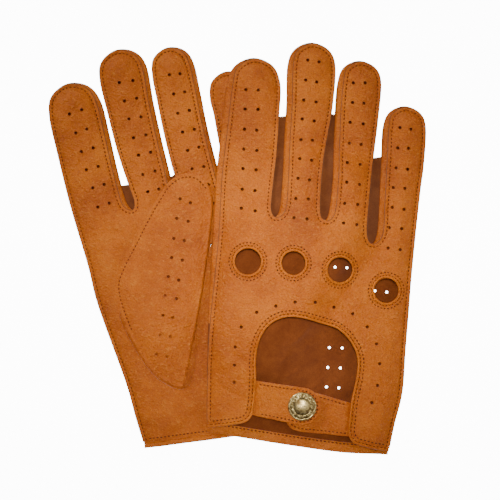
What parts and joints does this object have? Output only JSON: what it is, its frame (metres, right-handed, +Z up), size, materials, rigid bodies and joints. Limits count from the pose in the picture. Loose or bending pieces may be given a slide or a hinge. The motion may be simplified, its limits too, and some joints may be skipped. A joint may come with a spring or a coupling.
{
  "type": "leather driving gloves",
  "caption": "Pair of flat unlined leather driving gloves with knuckle holes, an open wrist back, a snap strap and folded thumbs.",
  "frame": {"origin": "middle of the base of the pair's box, on the surface the gloves lie on", "axes": "+Y towards the fingertips of the right glove, +Z up from the table, +X towards the right glove's little-finger side"},
  "size_m": [0.212, 0.2308, 0.0258],
  "materials": {
    "leather": "smooth tan sheepskin, satin",
    "binding_leather": "rolled tan leather edging, satin",
    "brass": "antique brass"
  },
  "bodies": {
    "left_hand": {"left_back_panel": "leather", "left_palm_panel": "leather", "left_fourchette_index_middle": "leather", "left_fourchette_middle_ring": "leather", "left_fourchette_ring_little": "leather", "left_knuckle_ring_index": "binding_leather", "left_knuckle_ring_middle": "binding_leather", "left_knuckle_ring_ring": "binding_leather", "left_knuckle_ring_little": "binding_leather", "left_dome_binding": "binding_leather", "left_cuff_binding": "binding_leather", "left_under_tab": "leather", "left_snap_stud": "brass", "left_snap_post": "brass"},
    "left_thumb_body": {"left_thumb": "leather"},
    "left_strap": {"left_snap_tab": "leather", "left_snap_cap": "brass", "left_snap_socket": "brass"},
    "right_hand": {"right_back_panel": "leather", "right_palm_panel": "leather", "right_fourchette_index_middle": "leather", "right_fourchette_middle_ring": "leather", "right_fourchette_ring_little": "leather", "right_knuckle_ring_index": "binding_leather", "right_knuckle_ring_middle": "binding_leather", "right_knuckle_ring_ring": "binding_leather", "right_knuckle_ring_little": "binding_leather", "right_dome_binding": "binding_leather", "right_cuff_binding": "binding_leather", "right_under_tab": "leather", "right_snap_stud": "brass", "right_snap_post": "brass"},
    "right_thumb_body": {"right_thumb": "leather"},
    "right_strap": {"right_snap_tab": "leather", "right_snap_cap": "brass", "right_snap_socket": "brass"}
  },
  "joints": [
    {"name": "right_glove_lift", "type": "slide", "parent": "left_hand", "child": "right_hand", "axis": [0, 0, 1], "range_m": [0, 0.12]},
    {"name": "right_thumb_swing", "type": "hinge", "parent": "right_hand", "child": "right_thumb_body", "pos_m": [-0.00313, -0.05345, 0.01427], "axis": [-0.2126, 0.9721, 0.0986], "range_deg": [0, 36]},
    {"name": "left_thumb_swing", "type": "hinge", "parent": "left_hand", "child": "left_thumb_body", "pos_m": [-0.0531, -0.06101, 0.009], "axis": [0.49, -0.8717, 0], "range_deg": [0, 55]},
    {"name": "right_strap_open", "type": "hinge", "parent": "right_hand", "child": "right_strap", "pos_m": [0.00947, -0.09305, 0.0183], "axis": [-0.0505, -0.9891, -0.1387], "range_deg": [0, 140]},
    {"name": "left_strap_open", "type": "hinge", "parent": "left_hand", "child": "left_strap", "pos_m": [-0.02948, -0.0952, 0], "axis": [-0.2433, 0.97, 0], "range_deg": [0, 140]}
  ],
  "couplings": [
    {"joint": "right_thumb_swing", "follows": "right_glove_lift", "rad_per_m": 5.09}
  ]
}
